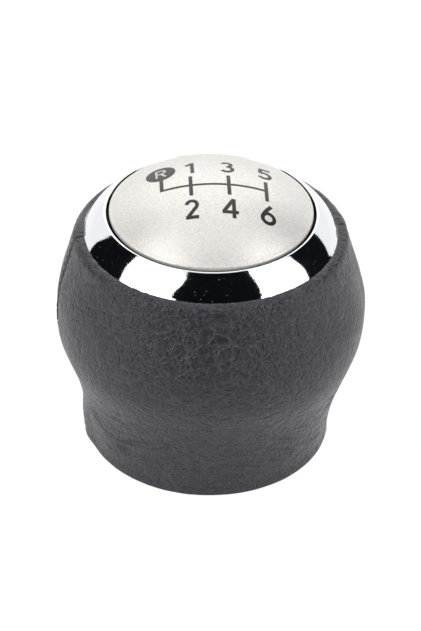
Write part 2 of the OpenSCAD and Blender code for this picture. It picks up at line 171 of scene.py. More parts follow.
def lattice(ix, iy, seed):
    """A random share from 0 to 1 for each whole-number place."""
    h = ix.astype(np.int64) * 374761393 + iy.astype(np.int64) * 668265263 + seed * 362437
    h = h & 0xFFFFFFFF
    h = ((h ^ (h >> 13)) * 1274126177) & 0xFFFFFFFF
    return ((h ^ (h >> 16)) & 0xFFFFFF) / 0xFFFFFF


def ripple(x, y, seed):
    """Smooth noise from -1 to 1 with bumps about one unit across."""
    ix, iy = np.floor(x), np.floor(y)
    fx, fy = x - ix, y - iy
    sx, sy = fx * fx * (3 - 2 * fx), fy * fy * (3 - 2 * fy)
    low = lattice(ix, iy, seed) * (1 - sx) + lattice(ix + 1, iy, seed) * sx
    high = lattice(ix, iy + 1, seed) * (1 - sx) + lattice(ix + 1, iy + 1, seed) * sx
    return (low * (1 - sy) + high * sy) * 2 - 1


def rise(low, high, x):
    """Smooth step from 0 at low to 1 at high."""
    t = np.clip((x - low) / (high - low), 0, 1)
    return t * t * (3 - 2 * t)


# Meshes


def make_piece(name, points, faces, material, smooth_angle=40.0):
    """A mesh piece from points in millimetres, riding on the knob."""
    mesh = bpy.data.meshes.new(name)
    mesh.from_pydata((np.asarray(points, float) * MM).tolist(), [], faces)
    mesh.validate()
    mesh.shade_smooth()
    mesh.set_sharp_from_angle(angle=math.radians(smooth_angle))
    mesh.materials.append(material)
    piece = bpy.data.objects.new(name, mesh)
    bpy.context.scene.collection.objects.link(piece)
    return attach(piece, "root")


def grid_faces(rows, cols, loop_rows, loop_cols):
    """Quads over a grid of rows by columns, closed round where asked."""
    i = np.arange(rows if loop_rows else rows - 1)[:, None]
    j = np.arange(cols if loop_cols else cols - 1)[None, :]
    ni, nj = (i + 1) % rows, (j + 1) % cols
    quads = np.stack([i * cols + j, i * cols + nj, ni * cols + nj, ni * cols + j], axis=-1)
    return quads.reshape(-1, 4).tolist()


def turned(profile, segments):
    """Points and faces of a closed section turned round the lever axis."""
    section = np.asarray(profile, float)
    angle = np.arange(segments) * 2 * math.pi / segments
    r, z = section[:, :1], section[:, 1:]
    points = np.stack([r * np.cos(angle), r * np.sin(angle), z + 0 * angle], axis=-1)
    return points.reshape(-1, 3), grid_faces(len(section), segments, True, True)


def arc(cx, cz, r, a0, a1, count):
    """Points on an arc of a section, angles in degrees."""
    a = np.radians(np.linspace(a0, a1, count))
    return [(cx + r * math.cos(t), cz + r * math.sin(t)) for t in a]


def bezier(points, count):
    """Points along a cubic curve, its last point left out."""
    p = np.asarray(points, float)
    t = np.linspace(0, 1, count, endpoint=False)[:, None]
    back = 1 - t
    return back ** 3 * p[0] + 3 * back ** 2 * t * p[1] + 3 * back * t * t * p[2] + t ** 3 * p[3]


# Materials


def add_node(tree, kind, inputs=None, stops=(), **node_settings):
    """Adds a node with its settings, inputs (values or links) and ramp stops; gives its outputs."""
    node = tree.nodes.new(kind)
    for name, value in node_settings.items():
        setattr(node, name, value)
    for key, value in (inputs or {}).items():
        if isinstance(value, bpy.types.NodeSocket):
            tree.links.new(value, node.inputs[key])
        else:
            node.inputs[key].default_value = value
    for k, (place, color) in enumerate(stops):
        elements = node.color_ramp.elements
        stop = elements[k] if k < len(elements) else elements.new(place)
        stop.position, stop.color = place, (*color, 1)
    return node.outputs


def new_material(name):
    """An empty material, its tree and the place on the piece that its patterns start from."""
    material = bpy.data.materials.new(name)
    material.use_nodes = True
    tree = material.node_tree
    tree.nodes.clear()
    return material, tree, add_node(tree, "ShaderNodeTexCoord")["Object"]


def per_metre(width_mm):
    """Scale of a texture whose features are that many millimetres wide."""
    return 1 / (width_mm * MM)


def noise(tree, place, width_mm, detail):
    """Cloudy noise with clouds of a given width."""
    inputs = {"Vector": place, "Scale": per_metre(width_mm), "Detail": detail}
    return add_node(tree, "ShaderNodeTexNoise", inputs)


def cells(tree, place, width_mm, feature="F1"):
    """Cells of a given width."""
    inputs = {"Vector": place, "Scale": per_metre(width_mm)}
    return add_node(tree, "ShaderNodeTexVoronoi", inputs, feature=feature)


def waves(tree, place, unit_mm, distortion, **node_settings):
    """Even waves, drawn in units of a given width."""
    inputs = {"Vector": place, "Scale": per_metre(unit_mm), "Distortion": distortion}
    return add_node(tree, "ShaderNodeTexWave", inputs, **node_settings)["Fac"]


def remap(tree, value, low, high, to_low, to_high, **node_settings):
    """A value brought from one range to another and held at its ends."""
    names = ("Value", "From Min", "From Max", "To Min", "To Max")
    inputs = dict(zip(names, (value, low, high, to_low, to_high)))
    return add_node(tree, "ShaderNodeMapRange", inputs, **node_settings)[0]


def maths(tree, operation, *values):
    """Result of one operation on values or links."""
    return add_node(tree, "ShaderNodeMath", dict(enumerate(values)), operation=operation)[0]


def blend(tree, share, *stops):
    """Colour that runs over its stops as a share goes from 0 to 1."""
    return add_node(tree, "ShaderNodeValToRGB", {"Fac": share}, stops)["Color"]


def bump(tree, height, strength, depth_mm, **inputs):
    """Normal of a surface that a pattern presses in or raises."""
    inputs |= {"Height": height, "Strength": strength, "Distance": depth_mm * MM}
    return add_node(tree, "ShaderNodeBump", inputs)[0]


def coat(material, tree, inputs):
    """Ends a material's tree with its surface and gives the material."""
    shader = add_node(tree, "ShaderNodeBsdfPrincipled", inputs)
    add_node(tree, "ShaderNodeOutputMaterial", {"Surface": shader[0]})
    return material


def crease_lines(tree, place, cell, width, seed):
    """Share from 0 to 1, high on the borders of cells and broken up along their length."""
    start = {"Vector": place, "Location": (seed, 2 * seed, 3 * seed)}
    shift = add_node(tree, "ShaderNodeMapping", start)[0]
    border = cells(tree, shift, cell, "DISTANCE_TO_EDGE")["Distance"]
    line = remap(tree, border, 0.0, width / cell, 1.0, 0.0, interpolation_type="SMOOTHSTEP")
    patches = noise(tree, shift, cell * 1.3, 1.0)["Fac"]
    kept = remap(tree, patches, 0.34, 0.62, 0.12, 1.0)
    return maths(tree, "MULTIPLY", line, kept)


def grained_leather(cover):
    """Chrome-tanned split with an embossed polyurethane finish.

    The film gives a soft gloss that grows at the flanks. The creases are painted a paler tone: a
    painted highlight for the light that their walls catch.
    """
    material, tree, place = new_material("grained_coated_leather")
    stray_mm, crease_width, vein_width = 1.1, 0.28, 0.2
    vein_depth, pebble_depth, film_depth = 0.6, 0.6, 0.6
    stray = {0: noise(tree, place, 1.5, 2.0)["Color"], 1: (stray_mm * MM,) * 3, 2: place}
    bent = add_node(tree, "ShaderNodeVectorMath", stray, operation="MULTIPLY_ADD")[0]
    creases = crease_lines(tree, bent, cover.crease_cell, crease_width, 0.0)
    veins = crease_lines(tree, bent, cover.vein_cell, vein_width, 0.3)
    pebbles = cells(tree, bent, cover.pebble_cell, "SMOOTH_F1")["Distance"]
    film = noise(tree, place, 0.3, 2.0)["Fac"]
    # The crease lines set the grain's depth and also mask the painted highlight in the creases
    lines = maths(tree, "MULTIPLY_ADD", veins, vein_depth, creases)
    depth = maths(tree, "MULTIPLY_ADD", pebbles, pebble_depth, lines)
    height = maths(tree, "SUBTRACT", maths(tree, "MULTIPLY", film, film_depth), depth)
    mottle = noise(tree, place, 4, 3.0)["Fac"]
    return coat(material, tree, {
        # Creases painted paler: a painted highlight
        "Base Color": blend(tree, lines, (0.0, cover.leather), (1.0, cover.crease_highlight)),
        "Roughness": remap(tree, mottle, 0.3, 0.7, 0.29, 0.38),
        "IOR": 1.5,
        "Normal": bump(tree, height, 1.0, cover.relief),
    })


def bright_chrome(trim):
    """Bright chrome plated over polished ABS: a cool mirror with faint orange peel and dust.

    Orange peel of 0.1 mm is too fine to show, so it is drawn 0.22 mm wide. Specks of dust dull
    the mirror, so they are drawn less metallic.
    """
    material, tree, place = new_material("bright_chrome_on_abs")
    swell = bump(tree, noise(tree, place, 5, 1.0)["Fac"], 0.15, 0.02)
    peel = noise(tree, place, 0.22, 1.0)["Fac"]
    from_speck = cells(tree, place, 0.9)["Distance"]
    return coat(material, tree, {
        "Base Color": (*trim.plating, 1),
        "Metallic": remap(tree, from_speck, 0.05, 0.12, 0.75, 1.0),
        "Roughness": 0.045,
        "Normal": bump(tree, peel, 1.0, 0.003, Normal=swell),
    })


def bare_abs_and_gap_shade():
    """ABS as moulded, where neither plating nor lacquer reaches: a dull near-black, which also
    serves as painted shade in the gap round the cap.
    """
    material, tree, place = new_material("moulded_abs_bare_and_gap_shade")
    grain = noise(tree, place, 0.15, 3.0)["Fac"]
    tint = blend(tree, grain, (0.35, linear("101012")), (0.7, linear("1B1B1E")))
    return coat(material, tree, {"Base Color": tint, "Roughness": 0.6, "Specular IOR Level": 0.3})


def silver_lacquer(trim):
    """ABS sprayed with aluminium-flake lacquer: a satin silver whose flakes sparkle a little.

    Real flakes of 0.03 mm are too fine to show, so they are drawn 0.16 mm wide.
    """
    material, tree, place = new_material("silver_flake_lacquer")
    flake = cells(tree, place, 0.16)["Color"]
    sparkle = add_node(tree, "ShaderNodeSeparateColor", {"Color": flake})["Red"]
    deep, mid, pale = (tuple(c * k for c in trim.lacquer) for k in (0.87, 1.0, 1.1))
    cloud = noise(tree, place, 0.4, 3.0)["Fac"]
    return coat(material, tree, {
        "Base Color": blend(tree, sparkle, (0.0, deep), (1.0, pale), (0.5, mid)),
        "Metallic": 0.32,
        "Roughness": remap(tree, cloud, 0.3, 0.7, 0.36, 0.46),
        "Normal": bump(tree, sparkle, 0.25, 0.01),
    })


def printed_ink(name, color):
    """Pad-printed two-part ink: a thin, even film with a silky gloss and a fine speckle."""
    material, tree, place = new_material(name)
    speckle = noise(tree, place, 0.15, 2.0)["Fac"]
    tint = blend(tree, speckle, (0.35, tuple(c * 0.75 for c in color)), (0.65, color))
    return coat(material, tree, {"Base Color": tint, "Roughness": 0.32})


def moulded_nylon():
    """Glass-filled nylon, moulded in a spark-eroded tool: near black with a fine dull grain."""
    material, tree, place = new_material("moulded_glass_filled_nylon")
    grain = noise(tree, place, 0.12, 4.0)["Fac"]
    tint = blend(tree, grain, (0.35, linear("17171A")), (0.7, linear("232327")))
    pits = bump(tree, grain, 0.5, 0.02)
    return coat(material, tree, {"Base Color": tint, "Roughness": 0.55, "Normal": pits})


def turned_brass():
    """Free-cutting brass, turned and tapped: fine tool rings and a warm bright tone."""
    material, tree, place = new_material("turned_brass")
    rings = waves(tree, place, 0.5, 0.6, wave_type="RINGS", rings_direction="Z")
    return coat(material, tree, {
        "Base Color": blend(tree, rings, (0.0, linear("B08A44")), (1.0, linear("CFAA62"))),
        "Metallic": 1.0,
        "Roughness": 0.28,
        "Normal": bump(tree, rings, 0.2, 0.01),
    })


def zinc_plated_steel():
    """Steel screw, blue zinc plated: a grey metal with a faint cloudy bloom."""
    material, tree, place = new_material("zinc_plated_steel")
    bloom = noise(tree, place, 0.8, 4.0)["Fac"]
    tint = blend(tree, bloom, (0.3, linear("A9ADB3")), (0.7, linear("C3C6CA")))
    return coat(material, tree, {"Base Color": tint, "Metallic": 1.0, "Roughness": 0.34})


def bonded_thread():
    """Bonded polyester sewing thread: slanting plies under a dull black coat."""
    material, tree, place = new_material("bonded_polyester_thread")
    plies = waves(tree, place, 0.9, 1.0, wave_type="BANDS", bands_direction="DIAGONAL")
    tint = blend(tree, plies, (0.2, linear("141416")), (0.8, linear("2A2A2E")))
    ridges = bump(tree, plies, 0.6, 0.05)
    return coat(material, tree, {"Base Color": tint, "Roughness": 0.6, "Normal": ridges})


def foam(name, code, cell_mm):
    """Foam cut from a block: open cells of the given width and no gloss."""
    material, tree, place = new_material(name)
    bubbles = cells(tree, place, cell_mm)["Distance"]
    pale, deep = linear(code), tuple(c * 0.6 for c in linear(code))
    tint = blend(tree, bubbles, (0.1, pale), (0.6, deep))
    pores = bump(tree, bubbles, 1.0, 0.1)
    return coat(material, tree, {"Base Color": tint, "Roughness": 0.9, "Normal": pores})


# Leather cover


def cover_section(cover):
    """The cover's outer line as rows of (r, z), its outward normals, and their way up the side."""
    lean_low, lean_high, dip = 5.5, 13.6, 36.87  # degrees
    low_pull, belly_low_pull, belly_high_pull, high_pull = 14.7, 9.0, 4.5, 6.4
    low_share = 0.62  # of the rows up the side
    a, b = math.radians(lean_low), math.radians(lean_high)
    base = np.array([cover.base_r, cover.fold_r])
    belly = np.array([cover.belly_r, cover.belly_z])
    turn_centre = np.array([cover.crest_r, cover.crest_z - cover.turn_r])
    shoulder = turn_centre + cover.turn_r * np.array([math.cos(b), math.sin(b)])
    low_guide = base + low_pull * np.array([math.sin(a), math.cos(a)])
    high_guide = shoulder + high_pull * np.array([math.sin(b), -math.cos(b)])
    low = [base, low_guide, belly - [0, belly_low_pull], belly]
    high = [belly, belly + [0, belly_high_pull], high_guide, shoulder]
    side = np.vstack([
        even(bezier(low, 400), round(cover.side_rows * low_share)),
        even(bezier(high, 400), round(cover.side_rows * (1 - low_share))),
    ])
    tuck_x, fold_x = cover.tuck_r + cover.fold_r, cover.base_r + 0.15 - cover.hem_fold
    start = [(cover.tuck_r, z) for z in (cover.tuck_h, 0.5 * (cover.tuck_h + cover.fold_r))]
    fold_in = arc(tuck_x, cover.fold_r, cover.fold_r, 180, 270, 6)
    flat = [(tuck_x + (fold_x - tuck_x) * t, 0.0) for t in np.linspace(0.08, 0.92, 8)]
    fold_out = arc(fold_x, cover.hem_fold, cover.hem_fold, 270, 350, 9)
    crest = arc(*turn_centre, cover.turn_r, lean_high, 90 + dip, 14)
    hem = [(cover.hem_r + t, cover.crest_z - HEM_DROP) for t in (1.2, 0.0)]
    line = np.array([*start, *fold_in, *flat, *fold_out, *side.tolist(), *crest, *hem])
    way = np.gradient(line, axis=0)
    normal = np.stack([way[:, 1], -way[:, 0]], axis=-1)
    normal /= np.linalg.norm(normal, axis=1)[:, None]
    step = np.linalg.norm(np.diff(line, axis=0), axis=1)
    along = np.concatenate([[0], np.cumsum(step)])
    side_start = len(start) + len(fold_in) + len(flat) + len(fold_out)
    return line, normal, along - along[side_start]


def even(line, count):
    """The same line with its points evenly spaced."""
    line = np.asarray(line)
    reach = np.concatenate([[0], np.cumsum(np.linalg.norm(np.diff(line, axis=0), axis=1))])
    at = np.linspace(0, reach[-1], count)
    return np.stack([np.interp(at, reach, line[:, k]) for k in (0, 1)], axis=-1)


def cover_lining(cover):
    """The cover's inner face from the hem back to the tuck, coarse because nothing shows it."""
    inner = cover.thickness
    line, normal, _ = cover_section(cover)
    side = (line - inner * normal)[25:-16:20][::-1]
    top_z = cover.crest_z - HEM_DROP - inner
    return [
        (cover.hem_r, top_z), (cover.crest_r - 0.2, top_z + 0.2), *map(tuple, side),
        (cover.base_r - inner, inner + 0.2), (cover.base_r - inner - 0.2, inner),
        (cover.tuck_r + inner, inner), (cover.tuck_r + inner, cover.tuck_h),
    ]


def drape(cover, u, v, to_seam, crest_v, seed):
    """Gathers under the ring, drag wrinkles at the waist, and lumps from the padding.

    u runs round the cover and v up its side; these and the height that comes back are in
    millimetres.
    """
    # Gathers: ridges that wander, each with its own depth and length
    bend = 0.7 * ripple(u / 2.5, v / 2.5, seed + 20) + 0.25 * ripple(u / 0.9, v / 0.9, seed + 27)
    fold = 0.7 - 2 * np.abs(ripple((u + bend) / cover.gather_pitch, v / 5, seed + 21))
    depth = np.clip(0.55 + 0.6 * ripple(u / 5, 0 * v, seed + 22), 0.15, 1)
    reach = 2.6 + 1.9 * ripple(u / 2.2, 0 * v, seed + 23)
    gathers = cover.gather_depth * fold * depth * rise(-reach, 0.3, v - crest_v)
    # Drag wrinkles: long folds that slant towards the seams
    slope = 0.35 * np.sin(u / 11 + 0.8) + 0.5 * np.sign(np.sin(u / 23)) * rise(12, 2, to_seam)
    across = v + slope * to_seam * 0.6
    drag = 1 - 2 * np.abs(ripple(u / 5 + across / 7, across / 0.85, seed + 24))
    waist = rise(0.5, 3, v) * rise(19, 9, v)
    uneven = 0.5 + 0.5 * ripple(u / 7, v / 4, seed + 25)
    wrinkles = cover.wrinkle_depth * drag * waist * uneven
    # Lumps, and a low swell beside the seams
    lumps = 0.1 * ripple(u / 12, v / 9, seed + 26) * rise(0, 4, v)
    lumps = lumps + 0.03 * ripple(u / 2.2, v / 2.2, seed + 28)
    calm = 0.4 + 0.6 * rise(1.5, 6, to_seam)
    return gathers + wrinkles * calm + lumps + 0.15 * rise(5, 1.5, to_seam) * rise(10, 16, v)


def seam_dip(cover, v, to_seam):
    """How far a panel's face rolls down to the joint, with a small pull at every stitch."""
    roll_share, pull_depth, pull_width = 0.95, 0.2, 0.6
    left = np.clip(cover.roll - to_seam, 0, cover.roll)
    roll = cover.roll - np.sqrt(np.maximum(cover.roll ** 2 - left ** 2, 0.0))
    beside = np.exp(-((to_seam - cover.roll) / pull_width) ** 2)
    pull = beside * np.cos(2 * math.pi * v / cover.stitch_pitch) ** 12
    return -roll_share * roll - pull_depth * pull


def settle(cover, height, turn, z, v, over, to_seam):
    """Fades the drape where the cover is held, and adds the seams' dip and the left seam's ear."""
    past_crest = np.maximum(rise(0.5, -0.9, over), 0.18 * rise(1.35, 0.75, over))
    height = height * past_crest * rise(-3.5, -0.8, v)
    height = height * (1 - 0.6 * rise(-6, -3, over) * rise(-0.5, 0.0, np.sin(turn)))
    closing = rise(-5.5, -3, v) * (1 - (0.6 - 0.15 * np.cos(turn)) * rise(-2.2, 0.3, over))
    height = height * rise(0.3, 1.6, to_seam) + seam_dip(cover, v, to_seam) * closing
    ear = cover.ear * rise(6, 1.2, to_seam) * rise(8.5, 1.5, z) * rise(-3, 0, v)
    return height + ear * (np.cos(turn) < 0)


def crest_drop(cover, turn, over):
    """How far the crest sinks towards the rear, and a little at the right."""
    behind = rise(0.0, 0.4, np.sin(turn)) * (0.8 - 0.3 * np.cos(turn))
    drop = -cover.sag * np.maximum(behind, 0.15 * rise(0.2, 0.9, np.cos(turn)))
    return drop * rise(-6, -0.8, over) * rise(3.2, 1.5, over)


def leather_panel(name, node, middle, seed, cover, material):
    """One panel of the cover: draped outer face, plain inner face and closed ends at the seams."""
    line, normal, along = cover_section(cover)
    lining = np.array(cover_lining(cover))
    reach = 90 - cover.joint_gap
    mean_r, closer = 23.0, 0.055  # the columns stand closer near the seams
    crest_row = len(line) - 9  # the middle of the crest's turn
    share = np.linspace(-1, 1, cover.columns)
    share = share + closer * np.sin(math.pi * share)
    turn = np.radians(middle + cover.seam_turn + reach * share)[None, :]
    r, z, v = line[:, :1], line[:, 1:], along[:, None] + 0 * turn
    u = turn * mean_r + 0 * v
    to_seam = np.radians(90 - reach * np.abs(share))[None, :] * np.maximum(r, 1.0)
    crest_v = along[crest_row]
    over = v - crest_v
    height = drape(cover, u, v, to_seam, crest_v, seed)
    height = settle(cover, height, turn, z, v, over, to_seam)
    out_r, out_z = r + normal[:, :1] * height, z + normal[:, 1:] * height
    out_z = out_z + crest_drop(cover, turn, over)
    out_x = out_r * np.cos(turn) + cover.pull * rise(5, 15, z) * rise(31, 24, z)
    outer = np.stack([out_x, out_r * np.sin(turn), np.maximum(out_z, 0.0)], axis=-1)
    lr, lz = lining[:, :1], lining[:, 1:]
    inner = np.stack([lr * np.cos(turn), lr * np.sin(turn), lz + 0 * turn], axis=-1)
    points = np.vstack([outer.reshape(-1, 3), inner.reshape(-1, 3)])
    loop, cols = len(line) + len(lining), cover.columns
    faces = grid_faces(loop, cols, True, False)
    faces.append([i * cols for i in range(loop)][::-1])
    faces.append([i * cols + cols - 1 for i in range(loop)])
    piece = make_piece(name, points, faces, material, 80)
    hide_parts(node)


# Print on the dome


def dome(trim):
    """Radius of the dome and height of its centre."""
    climb = trim.cap_top_z - trim.cap_rim_z
    radius = (trim.cap_r ** 2 + climb ** 2) / (2 * climb)
    return radius, trim.cap_top_z - radius


def finely(points, closed=False):
    """A plane line with points close enough together to follow the dome."""
    longest_step = 0.2
    points = [np.array(p, float) for p in points]
    ends = points[1:] + ([points[0]] if closed else [])
    fine = []
    for a, b in zip(points, ends):
        count = max(1, math.ceil(np.linalg.norm(b - a) / longest_step))
        fine += [a + (b - a) * k / count for k in range(count)]
    return np.array(fine + ([] if closed else [points[-1]]))


def sweep(cx, cy, rx, ry, a0, a1):
    """Points on an oval sweep of a digit."""
    a = np.radians(np.linspace(a0, a1, 25))
    return [(cx + rx * math.cos(t), cy + ry * math.sin(t)) for t in a]


def on_dome(trim, plane, lift):
    """Plane points dropped onto the dome, lifted by a film's height."""
    radius, centre = dome(trim)
    plane = np.asarray(plane)
    z = centre + np.sqrt((radius + lift) ** 2 - (plane ** 2).sum(axis=1))
    return np.column_stack([plane, z])


def stroke_mesh(trim, line, width, closed, film):
    """A printed stroke of even width along a plane line, as a thin closed film on the dome."""
    line = finely(line, closed)
    if closed:
        way = np.roll(line, -1, axis=0) - np.roll(line, 1, axis=0)
    else:
        way = np.gradient(line, axis=0)
    normal = np.stack([-way[:, 1], way[:, 0]], axis=-1)
    normal /= np.linalg.norm(normal, axis=1)[:, None]
    left, right = line + normal * width / 2, line - normal * width / 2
    sides = (left, film), (right, film), (right, FILM_FOOT), (left, FILM_FOOT)
    points = np.stack([on_dome(trim, side, lift) for side, lift in sides]).reshape(-1, 3)
    faces = grid_faces(4, len(line), True, closed)
    if not closed:
        last = len(line) - 1
        faces += [[k * len(line) for k in range(4)][::-1], [k * len(line) + last for k in range(4)]]
    return points, faces


def disc_mesh(trim, centre, r, film):
    """A printed disc as a thin closed film on the dome."""
    turn = np.linspace(0, 2 * math.pi, 64, endpoint=False)
    circle = np.stack([np.cos(turn), np.sin(turn)], axis=-1)
    steps = (0.02, film), (0.35, film), (0.7, film), (1, film), (1, FILM_FOOT), (0.02, FILM_FOOT)
    rings = [on_dome(trim, circle * share * r + centre, lift) for share, lift in steps]
    return np.vstack(rings), grid_faces(len(rings), len(turn), True, True)


def digits(stroke):
    """Width and strokes of each plain digit, 3.8 high, from its lower left corner."""
    h, s = 3.8, stroke / 2
    curl_2 = sweep(1.07, h - 1.12, 0.84, 0.86, 168, -12)
    upper_3 = sweep(1.1, h - 0.98, 0.74, 0.72, 150, -90)
    lower_3 = sweep(1.1, 1.13, 0.9, 0.87, 90, -152)
    belly_5 = sweep(1.08, 1.22, 0.94, 0.95, 132, -150)
    ring_6 = sweep(1.2, 1.2, 0.93, 0.94, 0, 360)
    bar_4 = [(0.02, 1.12), (2.6, 1.12)]
    return {
        "1": (1.35, [[(0.1, h - 1.02), (1.08, h - s)], [(1.08, h), (1.08, 0)]]),
        "2": (2.2, [curl_2 + [(1.75, 2.15), (0.36, s)], [(0.1, s), (2.15, s)]]),
        "3": (2.4, [upper_3, lower_3]),
        "4": (2.6, [[(1.87, h - 0.05), (0.2, 1.12)], bar_4, [(1.87, h), (1.87, 0)]]),
        "5": (2.3, [[(2.1, h - s), (0.5, h - s)], [(0.62, h), (0.45, 1.98)], belly_5]),
        "6": (2.4, [ring_6, [(1.78, h - 0.12), (1.2, 3.02), (0.72, 2.3), (0.34, 1.45)]]),
    }


def film_piece(name, strokes, trim, material, lift, discs=()):
    """All strokes and discs of one colour as one piece."""
    parts = [stroke_mesh(trim, line, width, closed, lift) for line, width, closed in strokes]
    parts += [disc_mesh(trim, centre, r, lift) for centre, r in discs]
    points, faces = [], []
    for p, f in parts:
        offset = sum(len(x) for x in points)
        points.append(p)
        faces += [[k + offset for k in face] for face in f]
    piece = make_piece(name, np.vstack(points), faces, material, 30)


# Operators


def leave_bare_with_gap_shade(piece, first, last):
    """Leaves a run of a piece's faces in bare near-black plastic, which also paints the shade in
    the gap round the cap.
    """
    piece.data.materials.append(bare_abs_and_gap_shade())
    for face in piece.data.polygons[first:last]:
        face.material_index = 1


def dress(node, material, sharp=35.0):
    """Gives a node of the frame its material and a smooth finish between its sharp edges."""
    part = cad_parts[node]
    part.data.materials.clear()
    part.data.materials.append(material)
    part.data.shade_smooth()
    weld = part.modifiers.new("weld", "WELD")
    weld.merge_threshold = WELD_MM * MM
    split = part.modifiers.new("edges", "EDGE_SPLIT")
    split.split_angle = math.radians(sharp)


class KNOB_OT_leather_cover(bpy.types.Operator):
    """Make the two leather panels of the cover"""
    bl_idname = "knob.leather_cover"
    bl_label = "Leather cover"

    def execute(self, context):
        cover = settings()[0]
        leather = grained_leather(cover)
        leather_panel("cover_panel_front", "leather_front", 270, 11, cover, leather)
        leather_panel("cover_panel_rear", "leather_rear", 90, 61, cover, leather)
        return {"FINISHED"}


class KNOB_OT_seam_threads(bpy.types.Operator):
    """Finish the stitches in both seams"""
    bl_idname = "knob.seam_threads"
    bl_label = "Seam threads"

    def execute(self, context):
        thread = bonded_thread()
        for node in ("seam_thread_left", "seam_thread_right"):
            dress(node, thread)
        return {"FINISHED"}


class KNOB_OT_chrome_ring(bpy.types.Operator):
    """Make the polished ring round the cap"""
    bl_idname = "knob.chrome_ring"
    bl_label = "Chrome ring"

    def execute(self, context):
        trim = settings()[1]
        segments = 288
        lip = trim.lip_w / 2
        lip_arc = trim.lip_r - lip, trim.lip_z - lip, lip
        lip_turn = 49  # degrees at which the flank meets the lip
        foot_z, foot_drop = COVER_HIGH.z + 0.08, 0.75
        foot = np.array([trim.ring_r, foot_z])
        chord = np.array(arc(*lip_arc, lip_turn, lip_turn, 1)[0]) - foot
        out = np.array([chord[1], -chord[0]]) / np.linalg.norm(chord)
        flank = [
            tuple(foot + chord * t + out * trim.flank_bow * math.sin(math.pi * t))
            for t in np.linspace(0, 1, 33)
        ]
        bore_r, ledge_r = trim.lip_r - trim.lip_w, trim.cap_r - 1.15
        ledge_z, ledge_h = trim.cap_rim_z - 1.4, 1
        profile = [
            (trim.ring_r + 0.69, foot_z - foot_drop),
            *flank[:-1],
            *arc(*lip_arc, lip_turn, 180, 14),
            (bore_r, ledge_z), (ledge_r, ledge_z), (ledge_r, ledge_z - ledge_h),
            (bore_r - 0.3, ledge_z - ledge_h),
            (trim.ring_r - 1.3, foot_z - foot_drop),
        ]
        plated = len(flank) + 9  # rows of faces from the foot over the lip
        points, faces = turned(profile, segments)
        ring = make_piece("chrome_ring_polished", points, faces, bright_chrome(trim), 40)
        # The lip's inner side, the bore and the ledge are bare near-black ABS, which also paints
        # the shade in the gap round the cap
        leave_bare_with_gap_shade(ring, plated * segments, len(profile) * segments)
        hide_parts("chrome_ring")
        return {"FINISHED"}


class KNOB_OT_shift_cap(bpy.types.Operator):
    """Make the lacquered cap with its rounded rim"""
    bl_idname = "knob.shift_cap"
    bl_label = "Shift cap"

    def execute(self, context):
        trim = settings()[1]
        radius, centre = dome(trim)
        segments = 256
        edge, lacquer_run = 0.28, 0.45  # the rim's rounding, and the lacquer below it
        skirt_z, wall_r = trim.cap_rim_z - 1.35, trim.cap_r - 1.5
        rim = math.degrees(math.acos((trim.cap_r - edge) / radius))
        start_z = centre + radius * math.sin(math.radians(rim))
        inner = radius - trim.cap_wall
        inner_a = math.degrees(math.acos(wall_r / inner))
        profile = [
            (wall_r, skirt_z), (trim.cap_r, skirt_z),
            (trim.cap_r, start_z - edge - lacquer_run), (trim.cap_r, start_z - edge),
            *arc(trim.cap_r - edge, start_z - edge, edge, 12, 62, 5),
            *arc(0, centre, radius, rim + 0.5, 89.9, 60),
            *arc(0, centre, inner, 89.9, inner_a, 12),
        ]
        points, faces = turned(profile, segments)
        cap = make_piece("shift_cap_lacquered", points, faces, silver_lacquer(trim), 40)
        # The skirt and the wall under the lacquer are bare near-black ABS, which also paints the
        # shade in the gap under the rim
        leave_bare_with_gap_shade(cap, 0, 2 * segments)
        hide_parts("shift_cap")
        dress("cap_tape", foam("acrylic_foam_tape", "E6E5DF", 0.2))
        return {"FINISHED"}


class KNOB_OT_shift_pattern(bpy.types.Operator):
    """Print the gate lines and digits on the dome"""
    bl_idname = "knob.shift_pattern"
    bl_label = "Shift pattern"

    def execute(self, context):
        trim = settings()[1]
        gates = {"R": -7.98, "12": -3.40, "34": 2.63, "56": 8.60}
        cross_y, top_y, low_y = -1.33, 1.2, -3.85
        line_w, cross_w, lap = 0.6, 0.46, 0.2
        disc, disc_r = (-8.0, 4.05), 2.35
        ink = printed_ink("pad_printed_ink", trim.ink)
        strokes = [
            ([(gates["R"] - line_w / 2, cross_y), (gates["56"], cross_y)], cross_w, False),
            ([(gates["R"], disc[1] - disc_r + lap), (gates["R"], cross_y - lap)], line_w, False),
        ]
        for gate in ("12", "34", "56"):
            strokes.append(([(gates[gate], top_y), (gates[gate], low_y)], line_w, False))
        shapes = digits(trim.stroke)
        places = {"1": ("12", 2.25), "3": ("34", 2.25), "5": ("56", 2.2),
                  "2": ("12", -8.62), "4": ("34", -8.62), "6": ("56", -8.6)}
        for digit, (gate, y) in places.items():
            width, lines = shapes[digit]
            x = gates[gate] - width / 2
            for line in lines:
                placed = [(px + x, py + y) for px, py in line]
                closed = len(line) > 20 and np.allclose(line[0], line[-1], atol=0.01)
                strokes.append((placed[:-1] if closed else placed, trim.stroke, closed))
        film_piece("shift_pattern_ink", strokes, trim, ink, trim.ink_film, [(disc, disc_r)])
        w, h, middle_y = 0.36, 2.6, 1.22
        left, foot = disc[0] - 0.85, disc[1] - 1.3
        bowl = sweep(0.95, 1.82, 0.6, 0.6, 90, -90)
        letter = [
            [(w / 2, 0), (w / 2, h)],
            [(0, h - w / 2), (0.95, h - w / 2), *bowl, (0.0, middle_y)],
            [(0.85, middle_y), (1.62, 0.0)],
        ]
        placed = [([(px + left, py + foot) for px, py in line], w, False) for line in letter]
        white = printed_ink("pad_printed_white", linear("F2F0EC"))
        film_piece("reverse_letter", placed, trim, white, 2 * trim.ink_film)
        return {"FINISHED"}


